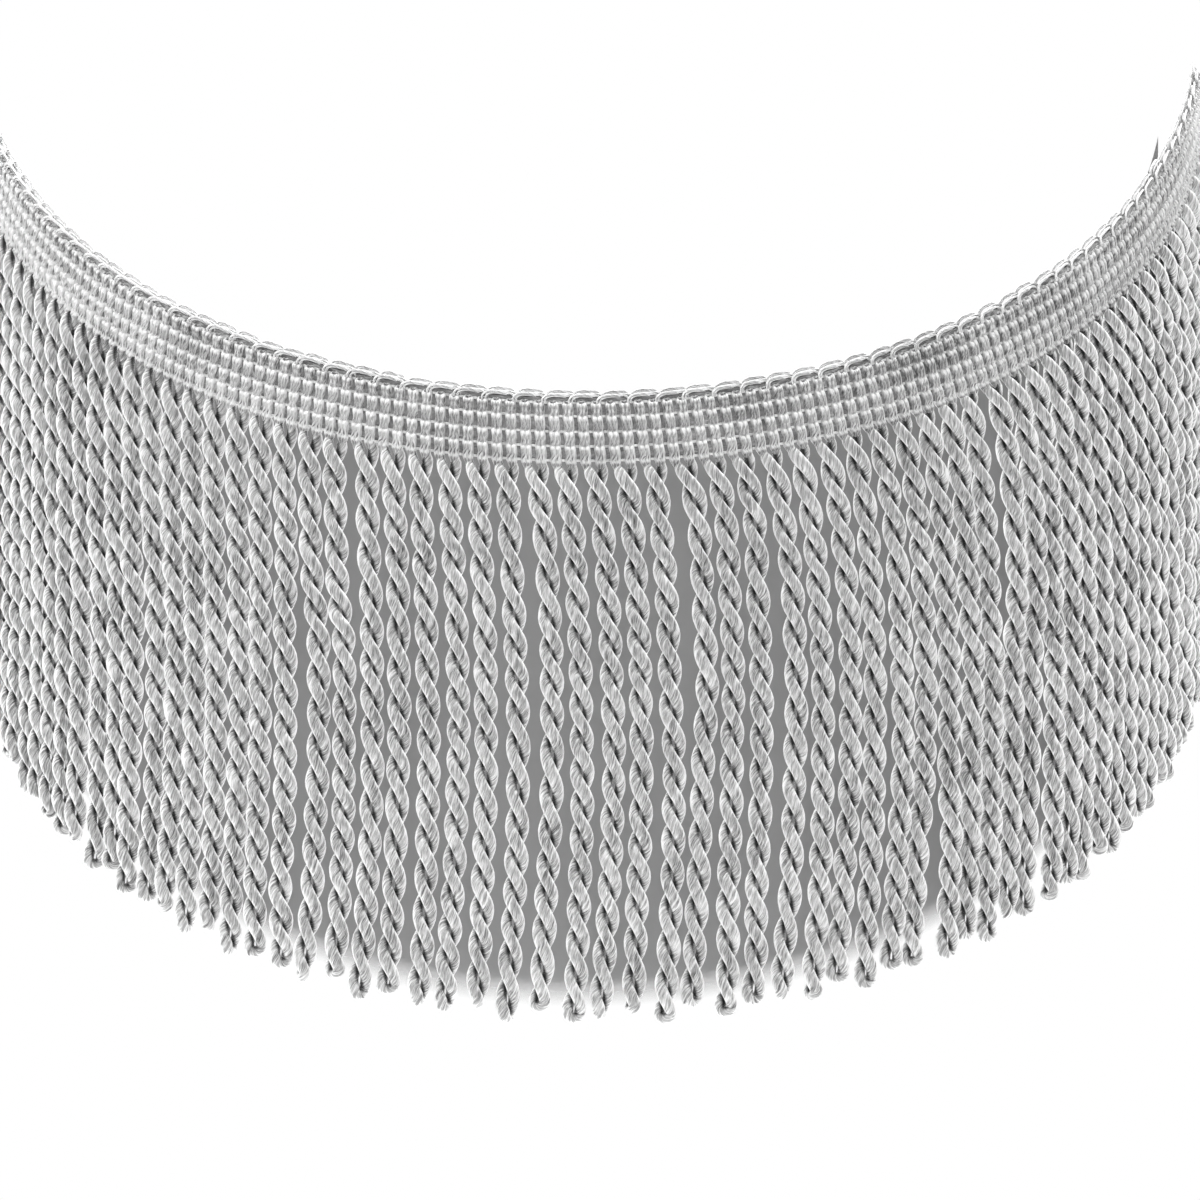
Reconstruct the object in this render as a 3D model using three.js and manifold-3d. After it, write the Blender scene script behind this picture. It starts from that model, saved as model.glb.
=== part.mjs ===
// Bullion fringe, hung as a swag that bends back at both sides. Millimetres, +Z up, front towards -Y.
// The origin is the middle of the top edge, at the swag's lowest point.
import * as THREE from 'three';
import { mergeVertices } from 'three/addons/utils/BufferGeometryUtils.js';
import Module from 'manifold-3d';

// Hanging shape: "run" is the level distance along the bent cloth, from the swag's lowest point
const PLAN_RADIUS = 103; // radius of the bend, seen from above
const SAG_CURVE = 0.00298; // rise of the top edge for each squared millimetre of run
const SAG_EASE = 1.37e-8; // loss of rise for each fourth power of the run, towards the ends
const RIB_SHEAR = 0.2; // share of the slope that the ribs give back as they hang
const RIB_LEAN = THREE.MathUtils.degToRad(4.5); // lean of every rib towards +X
const MARCH_STEP = 0.5; // step used to measure lengths along the top edge
const MERGE_TOLERANCE = 1e-3;

// Heading, measured down from the top edge and square to it
const CORD_PITCH = 4.45; // one loop, two ribs and one cord
const LEFT_CORDS = 31; // cords to the left of the middle one
const RIGHT_CORDS = 35;
const LOOP_HEIGHT = 2.7;
const LOOP_DIP = 1.5; // depth of the notch between two loops
const LOOP_THICKNESS = 2.0;
const LOOP_STEPS = 3; // straight steps round each loop
const BAND_TOP = 3.0;
const BAND_BOTTOM = 10.9;
const BAND_THICKNESS = 2.2;
const SPINE_TOP = 11.2;
const SPINE_BOTTOM = 12.6;
const SPINE_THICKNESS = 2.2;

// Cords
const CORD_TOP = 12; // each cord starts inside the spine
const CORD_LENGTH = 88;
const SHORTER_LEFT = 3.4e-4; // loss of cord length for each squared millimetre of run to the left
const SHORTER_RIGHT = 1.4e-4; // the same to the right
const CORD_RADIUS = 1.85;
const CORD_SIDES = 6;
const CORD_OFFSET = 0.6; // the cord hangs this far to the right of its loop
const BEND_LENGTH = 10; // drop over which a cord turns from the ribs' lean to plumb
const BOW = 1.9; // sideways bow of the whole skirt, at half its drop
const LENGTH_SPREAD = 1.1; // cords differ in length by this much either way
const LENGTH_BEAT = 3.7; // angle by which that difference goes on from cord to cord
const WAVE = 0.35; // sideways wave of single cords
const WAVE_BEAT = 2.4; // angle by which the wave goes on from cord to cord
const WAVE_TURN = 4; // and from the top of a cord to its tip
const STAGGER = 0.3; // cords stand alternately this far out and in at the middle
const STAGGER_SLOPE = 1.3; // and this much further for each unit of the sine of the slope
const STAGGER_ONSET = 5; // the stagger is full at a drop share of one over this
const TANGENT_STEP = 0.01; // share of the drop over which a cord's direction is measured

// Rings of one cord: share of its drop, and share of its radius
const CORD_RINGS = [
  { drop: 0, girth: 0.45 },
  { drop: 0.03, girth: 1 },
  { drop: 0.15, girth: 1 },
  { drop: 0.36, girth: 1 },
  { drop: 0.64, girth: 1 },
  { drop: 0.97, girth: 1 },
  { drop: 1, girth: 0.5 },
];

// Gaps between cords: run where the gap is, shares of the drop where it opens and closes, its width
const GAPS = [
  { at: -88.5, opens: 0.45, closes: 0.92, width: 2.4 },
  { at: -77.5, opens: 0.38, closes: 0.8, width: 1.6 },
  { at: -49, opens: 0.38, closes: 0.85, width: 1.9 },
  { at: -38, opens: 0.05, closes: 0.27, width: 1.2 },
  { at: -8.8, opens: 0.15, closes: 0.95, width: 1.0 },
  { at: 15.5, opens: 0.1, closes: 0.42, width: 1.3 },
  { at: 25.6, opens: 0.25, closes: 0.8, width: 1.4 },
  { at: 55, opens: 0.78, closes: 1, width: 1.8 },
  { at: 67, opens: 0.08, closes: 0.38, width: 2.2 },
  { at: 75.5, opens: 0.55, closes: 0.95, width: 2.2 },
];
const GAP_SPREAD = 9; // run over which the pushed cords settle back
const GAP_FADE = 0.12; // share of the drop over which a gap opens or closes

const wasm = await Module();
wasm.setup();

const rise = (run) => SAG_CURVE * run ** 2 - SAG_EASE * run ** 4;
const slope = (run) => Math.atan(2 * SAG_CURVE * run - 4 * SAG_EASE * run ** 3);
const ribLean = (run) => (1 - RIB_SHEAR) * slope(run) + RIB_LEAN;

// Run of the point that lies this length along the top edge from its middle
function runAtLength(length) {
  const steps = Math.ceil(Math.abs(length) / MARCH_STEP);
  let run = 0;
  for (let i = 0; i < steps; i += 1) {
    const half = run + (length / steps / 2) * Math.cos(slope(run));
    run += (length / steps) * Math.cos(slope(half));
  }
  return run;
}

// Point of the bent surface at a run and a height, moved out of it towards the front
function onSwag(run, height, out) {
  const turn = run / PLAN_RADIUS;
  const radius = PLAN_RADIUS + out;
  return new THREE.Vector3(radius * Math.sin(turn), PLAN_RADIUS - radius * Math.cos(turn), height);
}

// Run and height of a point of the heading, from its length along the top edge and its distance down
function onHeading(length, down) {
  const run = runAtLength(length);
  const lean = ribLean(run);
  const reach = down / Math.cos(lean - slope(run));
  return { run: run + reach * Math.sin(lean), height: rise(run) - reach * Math.cos(lean), lean };
}

// Moves every vertex of a geometry with a function of its place, and joins its shared vertices
function bend(geometry, place) {
  geometry.deleteAttribute('normal');
  geometry.deleteAttribute('uv');
  const position = geometry.attributes.position;
  const vertex = new THREE.Vector3();
  for (let i = 0; i < position.count; i += 1) {
    const moved = place(vertex.fromBufferAttribute(position, i));
    position.setXYZ(i, moved.x, moved.y, moved.z);
  }
  return mergeVertices(geometry, MERGE_TOLERANCE);
}

// Strip of cloth along the heading between two distances down; topAt gives its upper edge by length
function strip(topAt, bottom, thickness, stepsPerCord) {
  const cords = LEFT_CORDS + 1 + RIGHT_CORDS;
  const start = -(LEFT_CORDS + 0.5) * CORD_PITCH;
  const box = new THREE.BoxGeometry(1, 1, 1, cords * stepsPerCord, 1, 1);
  return bend(box, ({ x, y, z }) => {
    const length = start + (x + 0.5) * cords * CORD_PITCH;
    const { run, height } = onHeading(length, z > 0 ? topAt(length) : bottom);
    return onSwag(run, height, -y * thickness);
  });
}

// Distance down to the scalloped upper edge of the loops
function loopEdge(length) {
  const across = THREE.MathUtils.euclideanModulo(length / CORD_PITCH + 0.5, 1) * 2 - 1;
  return LOOP_DIP * (1 - Math.sqrt(Math.max(0, 1 - across ** 2)));
}

// Sideways push of the gaps on a cord that starts at a run, at a share of its drop
function gapPush(run, share) {
  let push = 0;
  for (const { at, opens, closes, width } of GAPS) {
    const open = THREE.MathUtils.smoothstep(share, opens - GAP_FADE, opens);
    const shut = THREE.MathUtils.smoothstep(share, closes, closes + GAP_FADE);
    const away = run - at;
    push += (Math.sign(away) * open * (1 - shut) * width * Math.exp(-Math.abs(away) / GAP_SPREAD)) / 2;
  }
  return push;
}

// Centre line of one cord at a share of its drop
function alongCord(index, share) {
  const { run, height, lean } = onHeading(index * CORD_PITCH + CORD_OFFSET, CORD_TOP);
  const shorter = (run < 0 ? SHORTER_LEFT : SHORTER_RIGHT) * run ** 2;
  const drop = share * (CORD_LENGTH - shorter + LENGTH_SPREAD * Math.sin(LENGTH_BEAT * index));
  const bent = Math.tan(lean) * BEND_LENGTH * (1 - Math.exp(-drop / BEND_LENGTH));
  const bow = BOW * Math.sin(Math.PI * share);
  const wave = WAVE * share * Math.sin(WAVE_BEAT * index + WAVE_TURN * share);
  const stagger = STAGGER + STAGGER_SLOPE * Math.abs(Math.sin(slope(run)));
  const out = (index % 2 === 0 ? 1 : -1) * stagger * Math.min(1, STAGGER_ONSET * share);
  return onSwag(run + bent + bow + wave + gapPush(run, share), height - drop, out);
}

// One cord: a round-ended bar round its centre line
function cord(index) {
  const steps = CORD_RINGS.length - 1;
  const bar = new THREE.CylinderGeometry(1, 1, 1, CORD_SIDES, steps);
  return bend(bar, ({ x, y, z }) => {
    const { drop, girth } = CORD_RINGS[Math.round((0.5 - y) * steps)];
    const middle = alongCord(index, drop);
    const above = alongCord(index, drop - TANGENT_STEP);
    const up = above.sub(alongCord(index, drop + TANGENT_STEP)).normalize();
    const right = new THREE.Vector3(0, 1, 0).cross(up).normalize();
    const forward = new THREE.Vector3().crossVectors(right, up);
    const radius = girth * CORD_RADIUS;
    return middle.addScaledVector(right, x * radius).addScaledVector(forward, z * radius);
  });
}

function toManifold(geometry) {
  return new wasm.Manifold(
    new wasm.Mesh({
      numProp: 3,
      vertProperties: new Float32Array(geometry.attributes.position.array),
      triVerts: new Uint32Array(geometry.index.array),
    }),
  );
}

function toGeometry(manifold) {
  const { vertProperties, triVerts } = manifold.getMesh();
  const geometry = new THREE.BufferGeometry();
  geometry.setAttribute('position', new THREE.BufferAttribute(vertProperties, 3));
  geometry.setIndex(new THREE.BufferAttribute(triVerts, 1));
  return geometry;
}

// Spine and cords joined into one comb
function comb() {
  let joined = toManifold(strip(() => SPINE_TOP, SPINE_BOTTOM, SPINE_THICKNESS, 1));
  for (let index = -LEFT_CORDS; index <= RIGHT_CORDS; index += 1) {
    joined = joined.add(toManifold(cord(index)));
  }
  return toGeometry(joined);
}

function yarn(color, roughness) {
  return new THREE.MeshStandardMaterial({ color, roughness, metalness: 0 });
}

function piece(name, geometry, material) {
  const mesh = new THREE.Mesh(geometry, material);
  mesh.name = name;
  return mesh;
}

const fringe = new THREE.Group();
fringe.name = 'bullion_fringe';
fringe.add(
  piece('loop_edging', strip(loopEdge, LOOP_HEIGHT, LOOP_THICKNESS, LOOP_STEPS), yarn(0xcdcdcd, 0.45)),
  piece('heading_band', strip(() => BAND_TOP, BAND_BOTTOM, BAND_THICKNESS, 1), yarn(0xc4c4c4, 0.5)),
  piece('bullion_cords', comb(), yarn(0xbfbfbf, 0.42)),
);

export default fringe;
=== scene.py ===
"""Bullion fringe hung as a bent swag: ribbed heading, looped top edge and two-ply cords.

Metres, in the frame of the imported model: +X along the heading, +Y to the sewn back, +Z up.
"""

import logging
import math
from dataclasses import dataclass
from enum import Enum
from typing import Optional, Union

import bpy
import numpy as np
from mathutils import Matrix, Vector


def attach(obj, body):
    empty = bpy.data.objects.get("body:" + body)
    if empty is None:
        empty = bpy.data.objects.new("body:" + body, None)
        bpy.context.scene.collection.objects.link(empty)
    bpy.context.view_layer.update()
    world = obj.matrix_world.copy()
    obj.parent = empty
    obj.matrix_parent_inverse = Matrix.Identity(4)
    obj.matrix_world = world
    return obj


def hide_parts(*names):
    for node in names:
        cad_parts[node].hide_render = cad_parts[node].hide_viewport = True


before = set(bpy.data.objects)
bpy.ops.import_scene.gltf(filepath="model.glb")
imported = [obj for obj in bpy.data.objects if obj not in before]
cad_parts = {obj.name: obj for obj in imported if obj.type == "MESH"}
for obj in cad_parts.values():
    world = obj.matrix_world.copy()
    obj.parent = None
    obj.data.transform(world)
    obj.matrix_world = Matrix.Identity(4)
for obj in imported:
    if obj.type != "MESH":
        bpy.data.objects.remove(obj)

Array = np.ndarray
Number = Union[float, "Wire"]
Color = Union[tuple[float, ...], "Wire"]

LOG = logging.getLogger("fringe")
ROOT_BODY = "root"
MM = 0.001
FULL_TURN = 2 * math.pi


class Slot(Enum):
    """Material slots of the record."""

    CORD = "cord_yarn"
    HEADING = "heading_yarn"
    LOOP = "loop_yarn"


# Hanging shape


def smoothstep(low: float, high: float, value: Array) -> Array:
    """Returns 0 below low, 1 above high and a cubic ease between them."""
    share = np.clip((value - low) / (high - low), 0, 1)
    return share * share * (3 - 2 * share)


def unit(vectors: Array) -> Array:
    """Returns the vectors scaled to length 1."""
    return vectors / np.linalg.norm(vectors, axis=-1, keepdims=True)


@dataclass(frozen=True)
class Swag:
    """The surface in which the fringe hangs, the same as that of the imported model.

    Run is the level distance along the bent cloth from its lowest point, and length is measured
    along the top edge. The plan is an arc of a circle, and the unrolled top edge is a curve of the
    second power of the run, eased by its fourth.
    """

    plan_radius: float = 103 * MM
    sag_curve: float = 2.98
    sag_ease: float = 13.7
    rib_shear: float = 0.2
    rib_lean: float = math.radians(4.5)
    table_end: float = 0.16
    table_steps: int = 4001

    def rise(self, run: Array) -> Array:
        """Returns the height of the top edge over its lowest point."""
        return self.sag_curve * run**2 - self.sag_ease * run**4

    def slope(self, run: Array) -> Array:
        """Returns the angle of the top edge to the level, on the unrolled cloth."""
        return np.arctan(2 * self.sag_curve * run - 4 * self.sag_ease * run**3)

    def lean(self, run: Array) -> Array:
        """Returns the lean of a rib from plumb, towards greater runs."""
        return (1 - self.rib_shear) * self.slope(run) + self.rib_lean

    def run_at(self, length: Array) -> Array:
        """Returns the run at a length along the top edge.

        The length is the integral of 1 / cos(slope) over the run, so the run is read back from a
        table of that integral.
        """
        runs = np.linspace(-self.table_end, self.table_end, self.table_steps)
        stretch = 1 / np.cos(self.slope(runs))
        parts = (stretch[1:] + stretch[:-1]) / 2 * np.diff(runs)
        lengths = np.concatenate(([0.0], np.cumsum(parts)))
        lengths -= lengths[self.table_steps // 2]
        return np.interp(length, lengths, runs)

    def point(self, run: Array, height: Array, out: Array) -> Array:
        """Returns places on the bent surface, moved out of it towards the front.

        Seen from above they lie on a circle of radius plan_radius + out, at the angle
        run / plan_radius from its foremost point.
        """
        run, height, out = np.broadcast_arrays(run, height, out)
        turn = run / self.plan_radius
        radius = self.plan_radius + out
        depth = self.plan_radius - radius * np.cos(turn)
        return np.stack((radius * np.sin(turn), depth, height), axis=-1)

    def front(self, run: Array) -> Array:
        """Returns the level direction out of the surface towards the front."""
        turn = run / self.plan_radius
        return np.stack((np.sin(turn), -np.cos(turn), np.zeros_like(turn)), axis=-1)

    def heading(self, length: Array, down: Array) -> tuple[Array, Array, Array]:
        """Places of the heading, measured along its top edge and square to it.

        Args:
            length: Length along the top edge from its middle.
            down: Distance down from the top edge.

        Returns:
            Run, height and the lean of the rib there.
        """
        run = self.run_at(length)
        lean = self.lean(run)
        reach = down / np.cos(lean - self.slope(run))
        return run + reach * np.sin(lean), self.rise(run) - reach * np.cos(lean), lean

    def on_heading(self, length: Array, down: Array, out: Array) -> tuple[Array, Array]:
        """Returns places moved out of the heading, and the directions to the front there."""
        run, height, _ = self.heading(length, down)
        return self.point(run, height, out), self.front(run)


# Meshes


@dataclass
class Shell:
    """Quads and triangles with a texture place for each of their corners.

    Attributes:
        points: Places of the vertices, one row each.
        quads: Vertex numbers of the four-sided faces.
        quad_places: Texture places of their corners.
        fans: Vertex numbers of the three-sided faces.
        fan_places: Texture places of their corners.
    """

    points: Array
    quads: Array
    quad_places: Array
    fans: Array
    fan_places: Array

    @staticmethod
    def joined(shells: list["Shell"]) -> "Shell":
        """Returns one shell that holds all the given ones."""
        starts = np.cumsum([0] + [len(shell.points) for shell in shells[:-1]])
        pairs = list(zip(shells, starts))
        return Shell(
            points=np.concatenate([shell.points for shell in shells]),
            quads=np.concatenate([shell.quads + start for shell, start in pairs]),
            quad_places=np.concatenate([shell.quad_places for shell in shells]),
            fans=np.concatenate([shell.fans + start for shell, start in pairs]),
            fan_places=np.concatenate([shell.fan_places for shell in shells]),
        )

    def to_object(self, name: str) -> bpy.types.Object:
        """Makes a smooth-shaded Blender object at the origin, with its UV map.

        Args:
            name: Name of the object and its mesh.

        Returns:
            The new object, linked into the scene.
        """
        corners = np.concatenate((self.quads.ravel(), self.fans.ravel()))
        sizes = np.concatenate((np.full(len(self.quads), 4), np.full(len(self.fans), 3)))
        starts = np.concatenate(([0], np.cumsum(sizes)[:-1]))
        places = np.concatenate((self.quad_places.reshape(-1, 2), self.fan_places.reshape(-1, 2)))
        mesh = bpy.data.meshes.new(name)
        mesh.vertices.add(len(self.points))
        mesh.vertices.foreach_set("co", self.points.astype(np.float32).ravel())
        mesh.loops.add(len(corners))
        mesh.loops.foreach_set("vertex_index", corners.astype(np.int32))
        mesh.polygons.add(len(sizes))
        mesh.polygons.foreach_set("loop_start", starts.astype(np.int32))
        mesh.polygons.foreach_set("use_smooth", np.ones(len(sizes), dtype=bool))
        layer = mesh.uv_layers.new(name="yarn")
        layer.uv.foreach_set("vector", places.astype(np.float32).ravel())
        mesh.update(calc_edges=True)
        mesh.validate()
        made = bpy.data.objects.new(name, mesh)
        bpy.context.scene.collection.objects.link(made)
        return made


def swept(
    paths: Array,
    inward: Array,
    wide: Union[float, Array],
    deep: Union[float, Array],
    sides: int,
    along: Optional[Array] = None,
) -> Shell:
    """Closed tubes round many paths at once.

    Each path point carries an oval ring: point + deep * cos(turn) * inward + wide * sin(turn) *
    sideways, where sideways is the path's direction crossed with inward. Each end is closed by a
    fan of triangles. The first texture coordinate is the share of a turn, from the inward side.

    Args:
        paths: Path points, by path and step.
        inward: Rough direction of each ring's seam, by path and step.
        wide: Half width of the ring, sideways.
        deep: Half depth of the ring, along inward.
        sides: Number of points round a ring.
        along: Second texture coordinate of each step, or None for the distance along the path.

    Returns:
        The tubes as one shell.
    """
    many, steps, _ = paths.shape
    ahead = unit(np.gradient(paths, axis=1))
    inward = unit(inward - np.sum(inward * ahead, axis=-1, keepdims=True) * ahead)
    sideways = np.cross(ahead, inward)
    turn = FULL_TURN * np.arange(sides) / sides
    wide = np.broadcast_to(wide, (many, steps))[..., None, None]
    deep = np.broadcast_to(deep, (many, steps))[..., None, None]
    ring = deep * np.cos(turn)[:, None] * inward[:, :, None]
    ring = ring + wide * np.sin(turn)[:, None] * sideways[:, :, None]
    points = (paths[:, :, None] + ring).reshape(many, -1, 3)
    points = np.concatenate((points, paths[:, :1], paths[:, -1:]), axis=1)

    path, step, side = np.meshgrid(
        np.arange(many), np.arange(steps - 1), np.arange(sides), indexing="ij"
    )
    base = path * (steps * sides + 2)
    after = (side + 1) % sides
    corners = (
        base + step * sides + side,
        base + step * sides + after,
        base + (step + 1) * sides + after,
        base + (step + 1) * sides + side,
    )
    quads = np.stack(corners, axis=-1).reshape(-1, 4)
    if along is None:
        strides = np.linalg.norm(np.diff(paths, axis=1), axis=-1)
        along = np.concatenate((np.zeros((many, 1)), np.cumsum(strides, axis=1)), axis=1)
    near, far = along[path, step], along[path, step + 1]
    left, right = side / sides, (side + 1) / sides
    quad_places = np.stack((left, near, right, near, right, far, left, far), axis=-1)

    path, side = np.meshgrid(np.arange(many), np.arange(sides), indexing="ij")
    base = path * (steps * sides + 2)
    after = (side + 1) % sides
    last = base + (steps - 1) * sides
    start = np.stack((base + steps * sides, base + after, base + side), axis=-1)
    end = np.stack((base + steps * sides + 1, last + side, last + after), axis=-1)
    left, right = side / sides, (side + 1) / sides
    middle = (left + right) / 2
    none, full = np.zeros_like(left), along[path, -1]
    start_places = np.stack((middle, none, right, none, left, none), axis=-1)
    end_places = np.stack((middle, full, left, full, right, full), axis=-1)
    return Shell(
        points=points.reshape(-1, 3),
        quads=quads,
        quad_places=quad_places.reshape(-1, 4, 2),
        fans=np.concatenate((start.reshape(-1, 3), end.reshape(-1, 3))),
        fan_places=np.concatenate((start_places.reshape(-1, 3, 2), end_places.reshape(-1, 3, 2))),
    )


# Materials


@dataclass(frozen=True)
class Wire:
    """An output socket with a value; arithmetic on it adds Math nodes to its material."""

    sheet: "ShaderSheet"
    socket: bpy.types.NodeSocket

    def _math(self, operation: str, *values: Number) -> "Wire":
        """Returns the result of a Math node on the given values."""
        inputs = dict(zip(("Value", "Value_001", "Value_002"), values))
        node = self.sheet.node("ShaderNodeMath", {"operation": operation}, inputs)
        return self.sheet.wire(node, "Value")

    def __add__(self, other: Number) -> "Wire":
        """Returns self + other."""
        return self._math("ADD", self, other)

    def __radd__(self, other: Number) -> "Wire":
        """Returns other + self."""
        return self._math("ADD", other, self)

    def __sub__(self, other: Number) -> "Wire":
        """Returns self - other."""
        return self._math("SUBTRACT", self, other)

    def __rsub__(self, other: Number) -> "Wire":
        """Returns other - self."""
        return self._math("SUBTRACT", other, self)

    def __mul__(self, other: Number) -> "Wire":
        """Returns self * other."""
        return self._math("MULTIPLY", self, other)

    def __rmul__(self, other: Number) -> "Wire":
        """Returns other * self."""
        return self._math("MULTIPLY", other, self)

    def __pow__(self, other: Number) -> "Wire":
        """Returns self raised to the power other."""
        return self._math("POWER", self, other)

    def sine(self) -> "Wire":
        """Returns the sine of the value, in radians."""
        return self._math("SINE", self)

    def clamped(self) -> "Wire":
        """Returns the value kept between 0 and 1."""
        return self._math("MAXIMUM", self._math("MINIMUM", self, 1.0), 0.0)


class ShaderSheet:
    """The node tree of a material or a world, with one method for every kind of node."""

    def __init__(self, owner: Union[bpy.types.Material, bpy.types.World]) -> None:
        """Empties the node tree.

        Args:
            owner: Material or world that the tree belongs to.
        """
        owner.use_nodes = True
        self.owner = owner
        self.tree = owner.node_tree
        self.tree.nodes.clear()

    @classmethod
    def of_material(cls, name: str) -> "ShaderSheet":
        """Returns the empty tree of a new material."""
        return cls(bpy.data.materials.new(name))

    def node(self, kind: str, settings: dict, inputs: dict) -> bpy.types.Node:
        """Adds a node.

        Args:
            kind: Blender's name of the node type.
            settings: Attributes of the node, which are set first.
            inputs: Values or wires of its input sockets, by socket identifier.

        Returns:
            The new node.
        """
        made = self.tree.nodes.new(kind)
        for name, value in settings.items():
            setattr(made, name, value)
        sockets = {socket.identifier: socket for socket in made.inputs}
        for name, value in inputs.items():
            if isinstance(value, Wire):
                self.tree.links.new(value.socket, sockets[name])
            else:
                sockets[name].default_value = value
        return made

    def wire(self, node: bpy.types.Node, output: str) -> Wire:
        """Returns an output socket of a node, by identifier."""
        sockets = {socket.identifier: socket for socket in node.outputs}
        return Wire(self, sockets[output])

    def noise(self, place: Wire, scale: float = 1.0, detail: float = 2.0) -> Wire:
        """Returns smooth noise between 0 and 1 at a place.

        Args:
            place: Vector at which the noise is read.
            scale: Noise features for each unit of place.
            detail: Number of finer layers.

        Returns:
            The noise value.
        """
        inputs = {"Vector": place, "Scale": scale, "Detail": detail}
        return self.wire(self.node("ShaderNodeTexNoise", {}, inputs), "Fac")

    def vector(self, x: Number, y: Number, z: Number) -> Wire:
        """Returns a vector made of three numbers."""
        node = self.node("ShaderNodeCombineXYZ", {}, {"X": x, "Y": y, "Z": z})
        return self.wire(node, "Vector")

    def mixed(self, share: Number, first: Color, second: Color) -> Wire:
        """Returns a colour between two others, by share."""
        inputs = {"Factor_Float": share, "A_Color": first, "B_Color": second}
        node = self.node("ShaderNodeMix", {"data_type": "RGBA"}, inputs)
        return self.wire(node, "Result_Color")

    def mixed_shaders(self, share: Number, first: Wire, second: Wire) -> Wire:
        """Returns a shader between two others, by share."""
        inputs = {"Fac": share, "Shader": first, "Shader_001": second}
        return self.wire(self.node("ShaderNodeMixShader", {}, inputs), "Shader")

    def close(self, surface: Wire) -> bpy.types.Material:
        """Links a shader to the material's output and returns the material."""
        self.node("ShaderNodeOutputMaterial", {}, {"Surface": surface})
        return self.owner


def grey(level: float) -> tuple[float, float, float, float]:
    """Returns a neutral colour of the given linear level."""
    return (level, level, level, 1.0)


@dataclass(frozen=True)
class YarnLook:
    """Numbers that all yarn finishes share.

    The scales are noise features for each metre; streak_scale has them for each yarn end and for
    each metre along it. Relief and shade are shares of the ends' crests, the streaks and the
    filaments, and rim has the last two of them; the crests' share of shade darkens the grooves
    between the ends a little, as painted shade. Cell_shift moves the painted highlight at the
    top of a rib's cells up by an angle, cell_power makes it narrow, cell_painted_highlight
    lightens it, and cell_painted_shade darkens the whole cell as painted shade. The sides where
    yarns touch or lie away from the light darken towards painted_shade_level, as painted shade.
    Gloss is how much less rough the lightest filaments are than the darkest, which have the
    roughness of the finish and rough more. The rim, where loose fibres show, begins at the facing
    value rim_from, where 1 is edge on, and its cover grows by rim_gain.
    """

    patch_scale: float = 420.0
    patch_shift: float = 2.6
    tone_scale: float = 90.0
    streak_scale: tuple[float, float] = (1.1, 620.0)
    filament_scale: float = 1300.0
    relief: tuple[float, float, float] = (0.08, 1.0, 0.5)
    shade: tuple[float, float, float] = (0.05, 1.8, 1.8)
    tone_share: float = 0.6
    base_shade: float = 0.25
    cell_shift: float = 0.8
    cell_power: float = 4.0
    cell_painted_highlight: float = 0.8
    cell_painted_shade: float = 0.2
    gloss: float = 0.14
    rough: float = 0.12
    # Colour that the painted shade on touching or shadowed sides darkens towards.
    painted_shade_level: float = 0.02
    rim_from: float = 0.2
    rim_gain: float = 2.4
    rim: tuple[float, float] = (3.2, 1.6)
    fibre_level: float = 0.95


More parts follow.
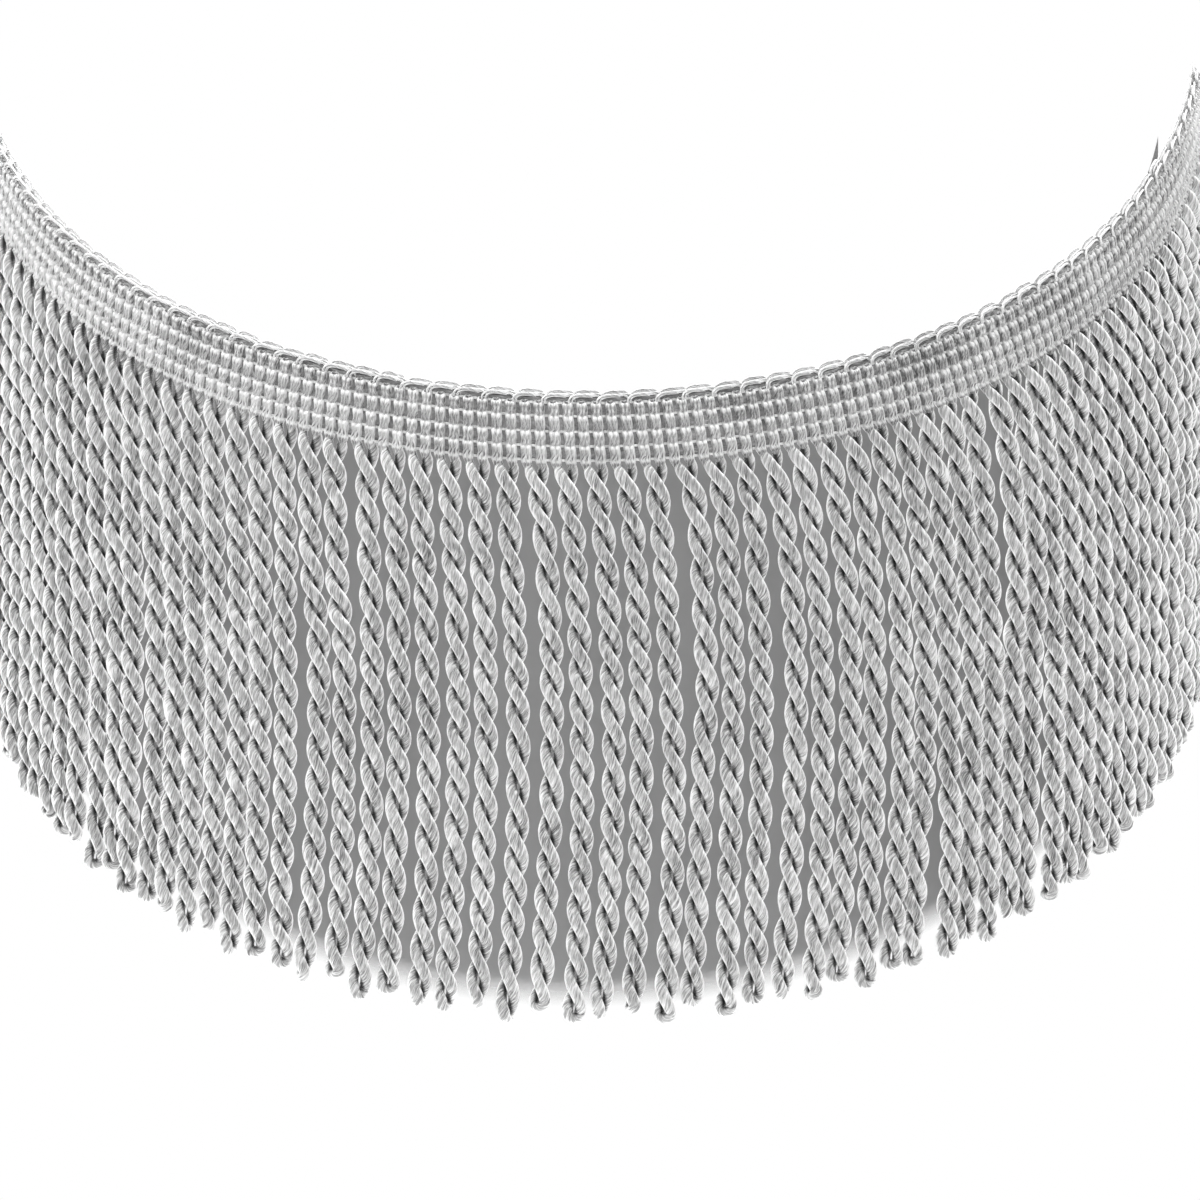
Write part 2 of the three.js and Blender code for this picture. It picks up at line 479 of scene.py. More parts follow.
@dataclass(frozen=True)
class YarnFinish:
    """Lustrous plied yarn: slanted yarn ends with fine filaments across the surface.

    Attributes:
        name: Name of the material.
        ends: Yarn ends that show round the section, a whole number.
        slant: Turns of the ends round the section for each metre along it.
        depth: Height of the relief, in metres.
        light: Colour level of the lightest filaments.
        dark: Colour level of the darkest filaments.
        fuzz: How fully loose white fibres cover the surface where it is seen edge on.
        painted_shade_from: Cosine from the middle of a painted-shade side where that shade begins.
        painted_shade_full: The same cosine where the painted shade is full, over 1 if it never is.
        painted_shade_at: Share of a turn at which the first painted-shade side lies.
        painted_shade_sides: Number of painted-shade sides round the section.
        filaments: Filaments within one yarn end.
        roughness: Roughness of the yarn.
        sheen: Weight of the soft sheen of loose filaments.
        metallic: Share of the mirror-like light of the filaments.
        cell: Rib cell length, painted highlight at top and painted shade below; 0 for plain yarn.
        look: The numbers shared by all finishes.
    """

    name: str
    ends: int
    slant: float
    depth: float
    light: float
    dark: float
    fuzz: float
    painted_shade_from: float
    painted_shade_full: float = 1.0
    painted_shade_at: float = 0.0
    painted_shade_sides: int = 1
    filaments: int = 4
    roughness: float = 0.32
    sheen: float = 0.8
    metallic: float = 0.3
    cell: float = 0.0
    look: YarnLook = YarnLook()

    def material(self) -> bpy.types.Material:
        """Builds the material.

        The ends are a sine of ends * (turn + slant * distance), shifted by noise so that no two
        are alike; their crests are a little lighter and their grooves darker, as painted shade.
        Streaks and filaments are noise drawn out along the ends. A rib's cells are lighter at
        their tops, by a power of a sine of the distance, as a painted highlight, and darker
        below, as painted shade. What is lighter is smoother. The sides that touch other yarns or
        lie away from the light darken, up to nearly black, as painted shade, where
        cos(2 * pi * folds * (turn - painted_shade_at)) is over painted_shade_from.
        Loose white fibres cover what is seen edge on, more thickly on some streaks than on others.
        """
        look = self.look
        sheet = ShaderSheet.of_material(self.name)
        places = sheet.node("ShaderNodeUVMap", {"uv_map": "yarn"}, {})
        split = sheet.node("ShaderNodeSeparateXYZ", {}, {"Vector": sheet.wire(places, "UV")})
        turn, along = sheet.wire(split, "X"), sheet.wire(split, "Y")
        objects = sheet.wire(sheet.node("ShaderNodeTexCoord", {}, {}), "Object")
        shift = sheet.noise(objects, look.patch_scale) * look.patch_shift
        tone = sheet.noise(objects, look.tone_scale, 1.0)
        lines = turn * float(self.ends) + along * (self.slant * self.ends) + shift
        crest = (lines * FULL_TURN).sine() * 0.5 + 0.5
        across, lengthwise = look.streak_scale
        streak = sheet.noise(sheet.vector(lines * across, along * lengthwise, tone))
        fine_place = sheet.vector(lines * self.filaments, along * look.filament_scale, tone)
        fine = sheet.noise(fine_place)
        height = crest * look.relief[0] + streak * look.relief[1] + fine * look.relief[2]
        bump_inputs = {"Strength": 1.0, "Distance": self.depth, "Height": height}
        bump = sheet.node("ShaderNodeBump", {}, bump_inputs)

        # The crests' share lightens the ends' crests and darkens their grooves: painted shade.
        shade = crest * look.shade[0] + (streak - 0.5) * look.shade[1]
        shade = shade + (fine - 0.5) * look.shade[2] + tone * look.tone_share
        # Painted highlight at the top of each rib cell, painted shade over the rest of it.
        if self.cell > 0:
            top = (along * (FULL_TURN / self.cell) + look.cell_shift).sine() * 0.5 + 0.5
            shade = shade + top**look.cell_power * look.cell_painted_highlight - look.cell_painted_shade
        shade = (shade + look.base_shade).clamped()
        # Painted shade: sides where yarns touch or lie away from the light darken towards black.
        painted_shade_wave = ((turn - self.painted_shade_at) * (FULL_TURN * self.painted_shade_sides) + math.pi / 2).sine()
        shaded = ((painted_shade_wave - self.painted_shade_from) * (1 / (self.painted_shade_full - self.painted_shade_from))).clamped()
        color = sheet.mixed(shade, grey(self.dark), grey(self.light))
        yarn = sheet.node(
            "ShaderNodeBsdfPrincipled",
            {},
            {
                "Base Color": sheet.mixed(shaded, color, grey(look.painted_shade_level)),
                "Metallic": self.metallic,
                "Roughness": (self.roughness + look.rough) - shade * look.gloss,
                "Normal": sheet.wire(bump, "Normal"),
                "Sheen Weight": self.sheen,
                "Sheen Roughness": 0.3,
                "Specular IOR Level": 0.6,
            },
        )
        facing = sheet.wire(sheet.node("ShaderNodeLayerWeight", {}, {"Blend": 0.5}), "Facing")
        rim = (facing - look.rim_from) * look.rim_gain
        rim = rim + (streak - 0.5) * look.rim[0] + (fine - 0.5) * look.rim[1]
        cover = rim.clamped() * (1 - shaded) * self.fuzz
        fibres = sheet.node("ShaderNodeBsdfDiffuse", {}, {"Color": grey(look.fibre_level)})
        both = sheet.mixed_shaders(cover, sheet.wire(yarn, "BSDF"), sheet.wire(fibres, "BSDF"))
        return sheet.close(both)


# Sub-assemblies


@dataclass(frozen=True)
class Gap:
    """A gap between two cords.

    Attributes:
        at: Run of the gap.
        opens: Share of the drop by which it is open.
        closes: Share of the drop at which it starts to close.
        width: Width of the gap.
    """

    at: float
    opens: float
    closes: float
    width: float


GAPS = (
    Gap(at=-88.5 * MM, opens=0.45, closes=0.92, width=2.4 * MM),
    Gap(at=-77.5 * MM, opens=0.38, closes=0.8, width=1.6 * MM),
    Gap(at=-49 * MM, opens=0.38, closes=0.85, width=1.9 * MM),
    Gap(at=-38 * MM, opens=0.05, closes=0.27, width=1.2 * MM),
    Gap(at=-8.8 * MM, opens=0.15, closes=0.95, width=1.0 * MM),
    Gap(at=15.5 * MM, opens=0.1, closes=0.42, width=1.3 * MM),
    Gap(at=25.6 * MM, opens=0.25, closes=0.8, width=1.4 * MM),
    Gap(at=55 * MM, opens=0.78, closes=1, width=1.8 * MM),
    Gap(at=67 * MM, opens=0.08, closes=0.38, width=2.2 * MM),
    Gap(at=75.5 * MM, opens=0.55, closes=0.95, width=2.2 * MM),
)


@dataclass(frozen=True)
class Layout:
    """Numbers that the heading, its loops and the cords share."""

    pitch: float = 4.45 * MM
    left_cords: int = 31
    right_cords: int = 35
    cord_offset: float = 0.6 * MM
    cord_top: float = 12 * MM

    @property
    def indices(self) -> Array:
        """Returns the cords' numbers, from the left to the right, with 0 in the middle."""
        return np.arange(-self.left_cords, self.right_cords + 1)

    @property
    def ends(self) -> tuple[float, float]:
        """Returns the lengths of the heading's two cut ends."""
        return -(self.left_cords + 0.5) * self.pitch, (self.right_cords + 0.5) * self.pitch


@dataclass(frozen=True)
class Skirt:
    """The cords: each one yarn bent double and twisted on itself, with a loop at its tip."""

    swag: Swag
    layout: Layout
    finish: YarnFinish
    drop: float = 88 * MM
    shorter_left: float = 0.34
    shorter_right: float = 0.14
    bend: float = 10 * MM
    bow: float = 1.9 * MM
    length_spread: float = 1.1 * MM
    length_beat: float = 3.7
    wave: float = 0.35 * MM
    wave_beat: float = 2.4
    wave_turn: float = 4.0
    stagger: float = 0.1 * MM
    stagger_onset: float = 5.0
    gap_spread: float = 9 * MM
    gap_fade: float = 0.12
    tangent_step: float = 0.004
    ply_radius: float = 0.98 * MM
    ply_spread: float = 1.02 * MM
    ply_round: float = 0.93
    flare: float = 0.12
    flare_length: float = 3 * MM
    swell: float = 0.06
    swell_length: float = 3.1 * MM
    swell_spread: float = 5.0
    swell_lag: float = 2.0
    neck: float = 0.55
    neck_top: float = -0.1 * MM
    neck_end: float = 1.5 * MM
    turn_ease: float = 0.9 * MM
    lay: float = 11.3 * MM
    lay_trend: float = 0.003
    lay_spread: float = 0.06
    lay_wobble: float = 0.45
    wobble_length: float = 5.5 * MM
    wobble_spread: float = 3.0
    lead: float = 0.1 * MM
    straight_steps: int = 150
    turn_steps: int = 9
    sides: int = 12
    groups: int = 4
    seed: int = 7

    def gap_push(self, run: Array, share: Array) -> Array:
        """Returns the sideways push of the gaps on cords that start at the given runs.

        Each gap pushes its neighbours away by half its width, fading with the distance from it,
        over the share of the drop for which it is open.
        """
        push = np.zeros(np.broadcast_shapes(np.shape(run), np.shape(share)))
        for gap in GAPS:
            opened = smoothstep(gap.opens - self.gap_fade, gap.opens, share)
            shut = smoothstep(gap.closes, gap.closes + self.gap_fade, share)
            away = run - gap.at
            fade = np.exp(-np.abs(away) / self.gap_spread)
            push = push + np.sign(away) * opened * (1 - shut) * gap.width * fade / 2
        return push

    def root(self, index: Array) -> tuple[Array, Array, Array]:
        """Returns run, height and lean of the ribs where cords leave the heading."""
        start = index * self.layout.pitch + self.layout.cord_offset
        return self.swag.heading(start, self.layout.cord_top)

    def cord_drop(self, index: Array, spread: float = 1.0) -> Array:
        """Hanging length of cords, which shrinks with the square of the run.

        Args:
            index: Numbers of the cords.
            spread: Share of their irregular difference in length that counts.

        Returns:
            The lengths.
        """
        run, _, _ = self.root(index)
        shorter = np.where(run < 0, self.shorter_left, self.shorter_right) * run**2
        return self.drop - shorter + spread * self.length_spread * np.sin(self.length_beat * index)

    def centre(self, index: Array, share: Array) -> tuple[Array, Array]:
        """Centre line of cords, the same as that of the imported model.

        A cord leaves the heading along its rib and turns plumb, then bows, waves and gives way to
        the gaps, and stands out or in alternately.

        Args:
            index: Numbers of the cords.
            share: Share of each cord's drop.

        Returns:
            The places, and the direction towards the front there.
        """
        run, height, lean = self.root(index)
        drop = share * self.cord_drop(index)
        bent = np.tan(lean) * self.bend * (1 - np.exp(-drop / self.bend))
        bow = self.bow * np.sin(math.pi * share)
        wave = self.wave * share * np.sin(self.wave_beat * index + self.wave_turn * share)
        side = np.where(index % 2 == 0, 1, -1)
        out = side * self.stagger * np.minimum(1, self.stagger_onset * share)
        at = run + bent + bow + wave + self.gap_push(run, share)
        return self.swag.point(at, height - drop, out), self.swag.front(at)

    def yarn_steps(self, full: Array) -> tuple[Array, Array, Array]:
        """Steps of the yarns, down one ply, round the tip in a half circle and up the other.

        Args:
            full: Hanging lengths of the cords, as a column.

        Returns:
            The drop of each step, and its shares of ply_spread across the cord, from -1 for the
            left ply to 1 for the right ply, and down past the drop.
        """
        last = full - self.ply_spread - self.ply_radius
        straight = -self.lead + np.linspace(0, 1, self.straight_steps) * (last + self.lead)
        sweep = np.linspace(-math.pi / 2, math.pi / 2, self.turn_steps + 2)[1:-1]
        tip = last + 0 * sweep
        ones = np.ones_like(straight)
        drop = np.concatenate((straight, tip, straight[:, ::-1]), axis=1)
        across = np.concatenate((-ones, np.sin(sweep) + 0 * tip, ones), axis=1)
        below = np.concatenate((0 * ones, np.cos(sweep) + 0 * tip, 0 * ones), axis=1)
        return drop, across, below

    def plies(self, index: Array) -> Shell:
        """Builds the yarns of some cords.

        Both plies of a yarn stand ply_spread from the cord's centre line, opposite each other.
        Their angle is -2 * pi * turned / lay plus a wobble, a sine of turned, where turned is the
        drop less turn_ease * (1 - exp(-drop / turn_ease)), because the twist starts slowly. They
        are thin where they leave the heading, and swell and shrink a little on their way.

        Args:
            index: Numbers of the cords.

        Returns:
            The yarns as one shell.
        """
        index = index[:, None]
        random = np.random.default_rng(self.seed)
        draws = random.standard_normal((4, len(self.layout.indices)))
        draw = draws[:, index + self.layout.left_cords]
        lay = self.lay * (1 + self.lay_trend * np.minimum(index, 0))
        lay = lay * (1 + self.lay_spread * np.tanh(draw[0]))
        full = self.cord_drop(index)
        drop, across, below = self.yarn_steps(full)

        share = drop / full
        middle, front = self.centre(index, share)
        above, _ = self.centre(index, share - self.tangent_step)
        under, _ = self.centre(index, share + self.tangent_step)
        plumb = unit(under - above)
        right = unit(np.cross(front, plumb))
        front = np.cross(plumb, right)
        turned = np.maximum(drop, 0)
        turned = turned - self.turn_ease * (1 - np.exp(-turned / self.turn_ease))
        wave = np.sin(turned / self.wobble_length + self.wobble_spread * draw[3])
        wobble = self.lay_wobble * np.tanh(draw[2]) * wave * np.minimum(1, turned / self.bend)
        angle = wobble - FULL_TURN * turned / lay
        spoke = np.cos(angle)[..., None] * right + np.sin(angle)[..., None] * front
        offset = across[..., None] * spoke + below[..., None] * plumb
        flare = 1 + self.flare * np.exp(-np.maximum(drop, 0) / self.flare_length)
        paths = middle + self.ply_spread * flare[..., None] * offset
        phase = self.swell_spread * draw[1] + self.swell_lag * across
        swell = 1 + self.swell * np.sin(drop / self.swell_length + phase)
        girth = self.neck + (1 - self.neck) * smoothstep(self.neck_top, self.neck_end, drop)
        radius = self.ply_radius * swell * girth
        return swept(paths, -offset, radius, radius * self.ply_round, self.sides)

    def build(self) -> list[bpy.types.Object]:
        """Makes the cords in groups from the left to the right, and returns the pieces."""
        made = []
        for number, index in enumerate(np.array_split(self.layout.indices, self.groups), 1):
            piece = self.plies(index).to_object(f"cords_{number}")
            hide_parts("bullion_cords")
            dress(piece, self.finish.material())
            made.append(piece)
        return made


@dataclass(frozen=True)
class Heading:
    """The crocheted heading: a ground cloth between ribs, tied across by chain stitches."""

    swag: Swag
    layout: Layout
    rib_finish: YarnFinish
    ground_painted_shade_finish: YarnFinish
    thread_finish: YarnFinish
    ground_top: float = 1.4 * MM
    ground_bottom: float = 11.5 * MM
    ground_half: float = 0.2 * MM
    ground_sides: int = 16
    ground_steps: int = 4
    rib_offset: float = -0.3 * MM
    rib_top: float = 2.1 * MM
    rib_bottom: float = 13.4 * MM
    strand_offset: float = 0.4 * MM
    strand_closing: float = 0.06 * MM
    strand_half_width: float = 0.5 * MM
    strand_widening: float = 0.1 * MM
    strand_half_depth: float = 1.1 * MM
    left_sink: float = 0.3
    left_shift: float = 0.17 * MM
    valley: float = 0.62
    crest_at: float = 0.55
    crest_round: float = 0.8
    widest_at: float = 1.6
    unevenness: float = 0.12
    sway: float = 0.06 * MM
    top_rounding: float = 0.45 * MM
    bottom_rounding: float = 1.8 * MM
    end_girth: float = 0.05
    cap_steps: int = 4
    cell_steps: int = 8
    cell_ease: float = 1.25
    rib_sides: int = 8
    rows: tuple[float, ...] = (2.4 * MM, 4.5 * MM, 6.95 * MM, 9.25 * MM, 11.5 * MM)
    thread_radius: float = 0.11 * MM
    thread_swing: float = 0.1 * MM
    thread_dip: float = 0.3 * MM
    thread_steps: int = 8
    thread_sides: int = 5
    seed: int = 5

    @property
    def rib_lengths(self) -> Array:
        """Returns the lengths along the heading at which the ribs stand, two to a cord."""
        cords = self.layout.indices * self.layout.pitch + self.layout.cord_offset + self.rib_offset
        quarter = self.layout.pitch / 4
        return (cords[:, None] + np.array([-quarter, quarter])).ravel()

    @property
    def ground_width(self) -> float:
        """Returns the width of the ground cloth."""
        return self.ground_bottom - self.ground_top

    def ground(self) -> bpy.types.Object:
        """Makes the ground cloth: one closed strip, thin and plain, that follows the swag."""
        start, end = self.layout.ends
        lengths = np.linspace(start, end, self.ground_steps * len(self.layout.indices))
        middle = (self.ground_top + self.ground_bottom) / 2
        points, front = self.swag.on_heading(lengths[None], middle, 0.0)
        half = self.ground_width / 2
        shell = swept(points, -front, half, self.ground_half, self.ground_sides)
        return shell.to_object("heading_ground")

    def rib_cells(self) -> tuple[Array, Array, Array]:
        """Steps of a rib, from its top to its bottom.

        Returns:
            The distance down of each step, the number of its cell between two rows, and its
            share of that cell.
        """
        marks = np.array((self.rib_top, *self.rows, self.rib_bottom))
        counts = [self.cap_steps, *[self.cell_steps] * (len(self.rows) - 1), self.cap_steps + 1]
        cell = np.repeat(np.arange(len(counts)), counts)
        share = np.concatenate([np.arange(count) / count for count in counts])
        share[-self.cap_steps - 1 :] = np.linspace(0, 1, self.cap_steps + 1)
        inner = (cell > 0) & (cell < len(counts) - 1)
        share = np.where(inner, share**self.cell_ease, share)
        return marks[cell] + share * (marks[cell + 1] - marks[cell]), cell, share

    def ribs(self) -> bpy.types.Object:
        """Makes the ribs: two upright strands each, which swell between the chain stitches.

        Between two rows the swell is sin(pi * share^crest_at)^crest_round, so that each cell is
        fullest just under the stitches that pull it in, and no two cells are quite alike. Lower
        down, at sin(pi * share^widest_at), the strands are widest, and the left one sinks and
        moves towards the right one.
        """
        down, cell, share = self.rib_cells()
        random = np.random.default_rng(self.seed)
        shape = (4, len(self.rib_lengths), len(self.rows) + 1)
        draws = np.tanh(random.standard_normal(shape))[:, :, cell]
        full = np.sin(math.pi * share**self.crest_at) ** self.crest_round
        full = full * (1 + self.unevenness * draws[:2])
        full = np.concatenate((full[0], full[1]))
        side = np.repeat((-1, 1), len(self.rib_lengths))[:, None]
        sway = (self.sway + 0.5 * self.sway * draws[2]) * np.sin(math.pi * share)
        middle = np.tile(self.rib_lengths[:, None] + sway, (2, 1))
        near_top = np.clip((down - self.rib_top) / self.top_rounding, self.end_girth, 1)
        near_bottom = (self.rib_bottom - down) / self.bottom_rounding
        ends = np.sqrt(near_top * np.clip(near_bottom, self.end_girth, 1))
        spread = np.sin(math.pi * share**self.widest_at)
        left = (side < 0) * spread
        offset = side * (self.strand_offset - self.strand_closing * spread)
        lengths = middle + (offset + self.left_shift * left) * ends
        points, front = self.swag.on_heading(lengths, down, 0.0)
        wide = (self.strand_half_width + self.strand_widening * spread) * ends + 0 * full
        full = full * (1 - self.left_sink * left)
        deep = self.strand_half_depth * (self.valley + (1 - self.valley) * full) * ends
        along = (cell + share) * self.rib_finish.cell + 0 * lengths
        return swept(points, -front, wide, deep, self.rib_sides, along).to_object("heading_ribs")

    def stitches(self, facing: int, strands: int) -> bpy.types.Object:
        """Makes the chain stitches of one face.

        A thread sinks into each rib and shows between the ribs, as a cosine of the length with one
        wave to a rib; two strands of a row swing up and down against each other, once to a rib.

        Args:
            facing: 1 for the front and -1 for the back.
            strands: Threads in each row.

        Returns:
            The stitches of all rows as one piece.
        """
        start, end = self.layout.ends
        steps = self.thread_steps * 2 * len(self.layout.indices)
        lengths = np.linspace(start, end, steps + 1)[None]
        row, strand = np.meshgrid(np.array(self.rows), np.arange(strands), indexing="ij")
        row, strand = row.reshape(-1, 1), strand.reshape(-1, 1)
        rib_pitch = self.layout.pitch / 2
        phase = FULL_TURN * (lengths - self.rib_lengths[0]) / rib_pitch
        swing = np.where(strand == 0, 1, -1) * (1 if strands > 1 else 0)
        down = row + self.thread_swing * swing * np.cos(phase)
        out = -facing * self.thread_dip * np.cos(phase)
        points, front = self.swag.on_heading(lengths, down, out)
        radius = self.thread_radius
        shell = swept(points, -facing * front, radius, radius, self.thread_sides)
        return shell.to_object("front_stitches" if facing > 0 else "back_stitches")

    def build(self) -> list[bpy.types.Object]:
        """Makes the heading and returns its pieces, the ground cloth first."""
        ground = self.ground()
        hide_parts("heading_band")
        thread = self.thread_finish.material()
        # The ground cloth's dark yarn is painted shade.
        dress(ground, self.ground_painted_shade_finish.material())
        ribs, front, back = self.ribs(), self.stitches(1, 2), self.stitches(-1, 1)
        dress(ribs, self.rib_finish.material())
        dress(front, thread)
        dress(back, thread)
        return [ground, ribs, front, back]


@dataclass(frozen=True)
class Arch:
    """One strand of the edging, repeated once for each cord.

    Attributes:
        middle: Length from the cord's number to the middle of the arch.
        left: Half width to the left of the middle.
        right: Half width to the right of it.
        height: Height over the feet.
        near: Distance in front of the swag at the left foot.
        far: The same at the right foot.
    """

    middle: float
    left: float
    right: float
    height: float
    near: float
    far: float


ARCHES = (
    Arch(0.0, 2.6 * MM, 2.5 * MM, 1.45 * MM, 0.8 * MM, -0.1 * MM),
    Arch(-0.2 * MM, 1.95 * MM, 1.8 * MM, 1.15 * MM, 0.65 * MM, -0.45 * MM),
    Arch(0.4 * MM, 2.5 * MM, 2.4 * MM, 2.1 * MM, -0.45 * MM, -0.75 * MM),
    Arch(0.5 * MM, 2.2 * MM, 2.1 * MM, 1.8 * MM, -0.5 * MM, -0.8 * MM),
    Arch(1.4 * MM, 2.2 * MM, 2.2 * MM, 1.5 * MM, -0.3 * MM, -0.6 * MM),
)


@dataclass(frozen=True)
class LoopEdging:
    """The looped top edge: flat-topped arches of strands, each lying over the next one."""

    swag: Swag
    layout: Layout
    finish: YarnFinish
    foot: float = 2.5 * MM
    roundness: float = 0.68
    strand_radius: float = 0.18 * MM
    spread: float = 0.06
    drift: float = 0.12
    steps: int = 15
    sides: int = 6
    seed: int = 11

    def strands(self, arch: Arch) -> Shell:
        """Arches of one kind, one to a cord, no two quite alike.

        With c and s as the cosine and sine of an angle that goes once through half a turn, an
        arch runs over its half width times c^roundness along the edge and height * s^roundness up.

        Args:
            arch: The sizes of the arch.

        Returns:
            All its copies as one shell.
        """
        share = np.linspace(0, 1, self.steps)
        turn = math.pi * share
        random = np.random.default_rng(self.seed)
        draws = np.tanh(random.standard_normal((3, len(self.layout.indices), 1)))
        middle = self.layout.indices[:, None] * self.layout.pitch + arch.middle
        middle = middle + self.drift * arch.left * draws[0]
        half = np.where(turn < math.pi / 2, arch.left, arch.right) * (1 + self.spread * draws[1])
        lengths = middle - half * np.sign(np.cos(turn)) * np.abs(np.cos(turn)) ** self.roundness
        rise = np.sin(turn) ** self.roundness + self.spread * draws[2] * np.sin(2 * turn)
        down = self.foot - arch.height * (1 + self.spread * draws[2]) * rise
        out = arch.near + (arch.far - arch.near) * share + 0 * middle
        points, front = self.swag.on_heading(lengths, down, out)
        return swept(points, -front, self.strand_radius, self.strand_radius, self.sides)

    def build(self) -> list[bpy.types.Object]:
        """Makes the edging and returns its piece."""
        piece = Shell.joined([self.strands(arch) for arch in ARCHES]).to_object("loop_strands")
        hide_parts("loop_edging")
        dress(piece, self.finish.material())
        return [piece]


def dress(piece: bpy.types.Object, material: bpy.types.Material) -> None:
    """Gives a piece its material, and lets it ride on the body.

    Args:
        piece: The new object.
        material: Its finish.
    """
    piece.data.materials.append(material)
    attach(piece, ROOT_BODY)
    LOG.info("%s: %d faces", piece.name, len(piece.data.polygons))


# Stage


@dataclass(frozen=True)
class Glow:
    """A soft patch of light in the surroundings.

    Attributes:
        toward: Direction from the fringe to the middle of the patch.
        sharpness: Power of the cosine from that direction, higher for a smaller patch.
        strength: Brightness in its middle.
    """

    toward: tuple[float, float, float]
    sharpness: float
    strength: float

    def level(self, sheet: ShaderSheet, place: Wire) -> Wire:
        """Brightness of the patch in the direction that a world shader is read in.

        Args:
            sheet: Node tree of the world.
            place: The direction.

        Returns:
            strength * cosine ** sharpness, and 0 where the cosine is negative.
        """
        inputs = {"Vector": place, "Vector_001": tuple(Vector(self.toward).normalized())}
        node = sheet.node("ShaderNodeVectorMath", {"operation": "DOT_PRODUCT"}, inputs)
        return sheet.wire(node, "Value").clamped() ** self.sharpness * self.strength


@dataclass(frozen=True)
class Studio:
    """Camera, softly lit surroundings, floor, and a painted-shade card close behind the cords."""

    swag: Swag
    layout: Layout
    skirt: Skirt
    camera_place: tuple[float, float, float] = (2.35 * MM, -1.58, -33.5 * MM)
    lens: float = 300.0
    sensor: float = 36.0
    floor_height: float = -0.24
    floor_size: float = 1.6
    base_light: float = 0.03
    glows: tuple[Glow, ...] = (
        Glow((0.0, -1.0, 0.0), 2.0, 0.3),
        Glow((0.0, 1.0, 0.2), 2.0, 0.6),
        Glow((0.0, -0.2, 1.0), 12.0, 7.0),
        Glow((0.0, -0.7, 0.7), 12.0, 2.0),
        Glow((0.56, 0.67, 0.5), 40.0, 18.0),
        Glow((0.87, 0.0, 0.5), 40.0, 2.4),
        Glow((0.8, -0.45, 0.4), 12.0, 0.2),
        Glow((-0.6, 0.7, 0.35), 40.0, 11.0),
        Glow((-0.87, 0.0, 0.4), 40.0, 8.5),
        Glow((-0.8, -0.45, 0.4), 12.0, 0.2),
    )
    floor_level: float = 0.85
    card_top: float = 9 * MM
    card_past: float = 1 * MM
    card_trim: float = 1.5
    card_fade: float = 0.05
    card_out: float = -6 * MM
    # Grey of the card: painted shade for a pale surface in the cords' shadow.
    card_painted_shade_level: float = 0.3
    card_columns: int = 135
    card_rows: int = 14

    def camera(self) -> None:
        """Makes the level camera that looks along +Y."""
        data = bpy.data.cameras.new("camera")
        data.lens = self.lens
        data.sensor_width = self.sensor
        data.clip_start = 0.01
        camera = bpy.data.objects.new("camera", data)
        camera.location = self.camera_place
        camera.rotation_euler = (math.pi / 2, 0, 0)
        bpy.context.scene.collection.objects.link(camera)
        bpy.context.scene.camera = camera

    def surroundings(self) -> None:
        """Makes the world: plain white where it is seen, and glows on grey as a light."""
        scene = bpy.context.scene
        scene.view_settings.view_transform = "Standard"
        world = bpy.data.worlds.new("surroundings")
        scene.world = world
        sheet = ShaderSheet(world)
        place = sheet.wire(sheet.node("ShaderNodeTexCoord", {}, {}), "Generated")
        level = sum((glow.level(sheet, place) for glow in self.glows), self.base_light)
        lit = sheet.node("ShaderNodeBackground", {}, {"Color": grey(1.0), "Strength": level})
        seen = sheet.node("ShaderNodeBackground", {}, {"Color": grey(1.0), "Strength": 1.0})
        path = sheet.wire(sheet.node("ShaderNodeLightPath", {}, {}), "Is Camera Ray")
        lit, seen = sheet.wire(lit, "Background"), sheet.wire(seen, "Background")
        both = sheet.mixed_shaders(path, lit, seen)
        sheet.node("ShaderNodeOutputWorld", {}, {"Surface": both})

    def floor_paper(self) -> bpy.types.Material:
        """Makes the floor's matt material."""
        sheet = ShaderSheet.of_material("floor_paper")
        matt = sheet.node("ShaderNodeBsdfDiffuse", {}, {"Color": grey(self.floor_level)})
        return sheet.close(sheet.wire(matt, "BSDF"))

    def card_painted_shade(self) -> bpy.types.Material:
        """Makes the card's matt material, which only the camera sees, and only from the front.

        It fades out at its lower edge, and light passes it as if it weren't there. Its grey is
        painted shade, for a pale surface as it looks in the cords' shadow.
        """
        sheet = ShaderSheet.of_material("card_painted_shade")
        diffuse = sheet.node("ShaderNodeBsdfDiffuse", {}, {"Color": grey(self.card_painted_shade_level)})
        matt = sheet.wire(diffuse, "BSDF")
        clear = sheet.wire(sheet.node("ShaderNodeBsdfTransparent", {}, {}), "BSDF")
        behind = sheet.wire(sheet.node("ShaderNodeNewGeometry", {}, {}), "Backfacing")
        places = sheet.wire(sheet.node("ShaderNodeUVMap", {"uv_map": "card"}, {}), "UV")
        split = sheet.node("ShaderNodeSeparateXYZ", {}, {"Vector": places})
        faded = ((sheet.wire(split, "Y") - (1 - self.card_fade)) * (1 / self.card_fade)).clamped()
        seen = sheet.wire(sheet.node("ShaderNodeLightPath", {}, {}), "Is Camera Ray")
        hidden = (behind + faded + (1 - seen)).clamped()
        return sheet.close(sheet.mixed_shaders(hidden, matt, clear))

    def floor(self) -> None:
        """Makes the pale floor under the hanging fringe."""
        half = self.floor_size / 2
        corners = np.array([(-half, -half), (half, -half), (half, half), (-half, half)])
        points = np.column_stack((corners, np.full(4, self.floor_height)))
        mesh = bpy.data.meshes.new("floor")
        mesh.from_pydata(points.tolist(), [], [(0, 1, 2, 3)])
        floor = bpy.data.objects.new("floor", mesh)
        floor.data.materials.append(self.floor_paper())
        bpy.context.scene.collection.objects.link(floor)

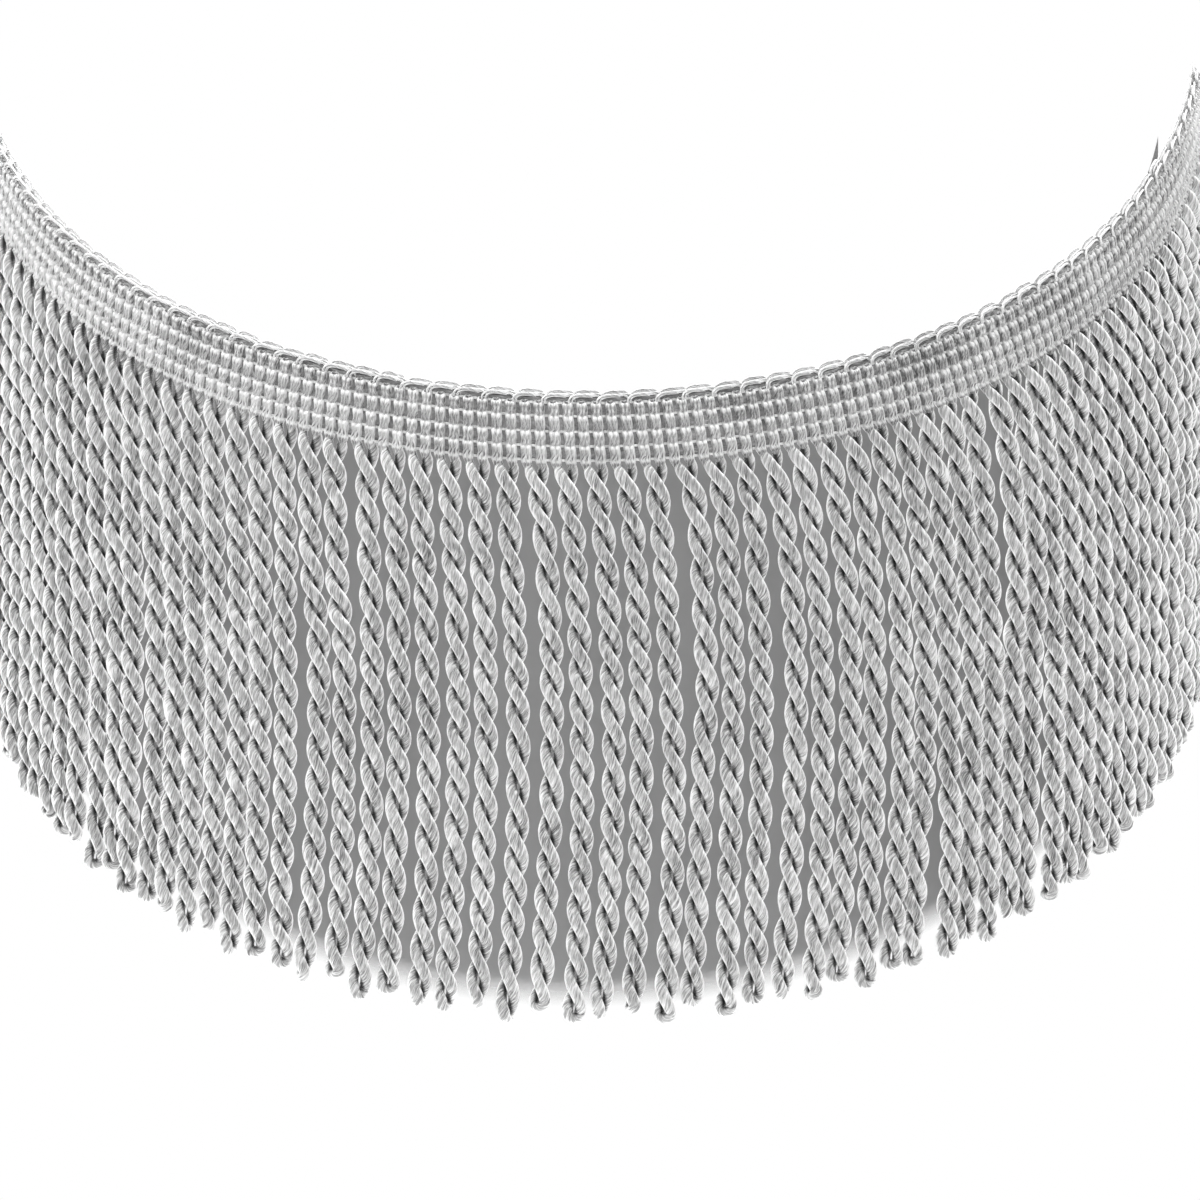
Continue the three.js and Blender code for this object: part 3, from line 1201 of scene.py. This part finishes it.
    def card(self) -> None:
        """Makes the card: a sheet of painted shade, bent like the swag, a little behind the cords.

        Its places are by row and column, and the second texture coordinate goes from 0 at its
        upper edge to 1 at its lower edge.
        """
        first, last = self.layout.indices[0], self.layout.indices[-1]
        index = np.linspace(first + self.card_trim, last - self.card_trim, self.card_columns)
        run, height, _ = self.swag.heading(index * self.layout.pitch, self.card_top)
        share = np.linspace(0, 1, self.card_rows)[:, None]
        drop = self.skirt.cord_drop(index, 0.0) + self.card_past
        points = self.swag.point(run + 0 * share, height - share * drop, self.card_out)
        rows, columns = points.shape[:2]
        row, column = np.meshgrid(np.arange(rows - 1), np.arange(columns - 1), indexing="ij")
        corner = row * columns + column
        corners = np.stack((corner, corner + columns, corner + columns + 1, corner + 1), axis=-1)
        mesh = bpy.data.meshes.new("card")
        mesh.from_pydata(points.reshape(-1, 3).tolist(), [], corners.reshape(-1, 4).tolist())
        mesh.polygons.foreach_set("use_smooth", np.ones(len(mesh.polygons), dtype=bool))
        layer = mesh.uv_layers.new(name="card")
        across, downward = np.meshgrid(np.linspace(0, 1, columns), share)
        places = np.stack((across, downward), axis=-1).reshape(-1, 2)
        layer.uv.foreach_set("vector", places[corners.ravel()].astype(np.float32).ravel())
        card = bpy.data.objects.new("card", mesh)
        card.data.materials.append(self.card_painted_shade())
        bpy.context.scene.collection.objects.link(card)

    def build(self) -> None:
        """Makes everything round the fringe."""
        self.camera()
        self.surroundings()
        self.floor()
        self.card()


# Every finish darkens its yarns' touching or shadowed sides as painted shade.
CORD_YARN = YarnFinish(
    name="cord_filaments",
    ends=15,
    slant=-250.0,
    depth=0.3 * MM,
    light=0.7,
    dark=0.08,
    fuzz=0.72,
    painted_shade_from=0.25,
    painted_shade_full=0.75,
    roughness=0.3,
    metallic=0.35,
)
# Ribs: painted shade on one side, and a painted highlight at the top of each cell.
RIB_YARN = YarnFinish(
    name="rib_filaments",
    ends=8,
    slant=-60.0,
    depth=0.3 * MM,
    light=0.85,
    dark=0.12,
    fuzz=0.3,
    painted_shade_from=0.3,
    painted_shade_full=1.5,
    painted_shade_at=0.75,
    cell=2.3 * MM,
)
# Painted shade: the heading's yarn darkened as it looks in the shade between the ribs.
GROUND_PAINTED_SHADE_YARN = YarnFinish(
    name="ground_filaments_painted_shade",
    ends=24,
    slant=0.0,
    depth=0.1 * MM,
    light=0.26,
    dark=0.08,
    fuzz=0.4,
    painted_shade_from=0.9,
    painted_shade_at=0.25,
    painted_shade_sides=2,
    filaments=3,
    roughness=0.5,
    sheen=0.1,
    metallic=0.0,
)
STITCH_THREAD = YarnFinish(
    name="stitch_filaments",
    ends=3,
    slant=-500.0,
    depth=0.06 * MM,
    light=0.75,
    dark=0.35,
    fuzz=0.4,
    painted_shade_from=0.9,
    filaments=3,
    roughness=0.3,
)
LOOP_YARN = YarnFinish(
    name="loop_filaments",
    ends=5,
    slant=-240.0,
    depth=0.12 * MM,
    light=0.92,
    dark=0.25,
    fuzz=0.6,
    painted_shade_from=0.7,
)


def main() -> None:
    logging.basicConfig(level=logging.INFO, format="%(message)s")
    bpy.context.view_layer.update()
    swag, layout = Swag(), Layout()
    skirt = Skirt(swag, layout, CORD_YARN)
    Studio(swag, layout, skirt).build()
    band = Heading(swag, layout, RIB_YARN, GROUND_PAINTED_SHADE_YARN, STITCH_THREAD)
    heading = band.build()
    loops = LoopEdging(swag, layout, LOOP_YARN).build()
    cords = skirt.build()


if __name__ == "__main__":
    main()
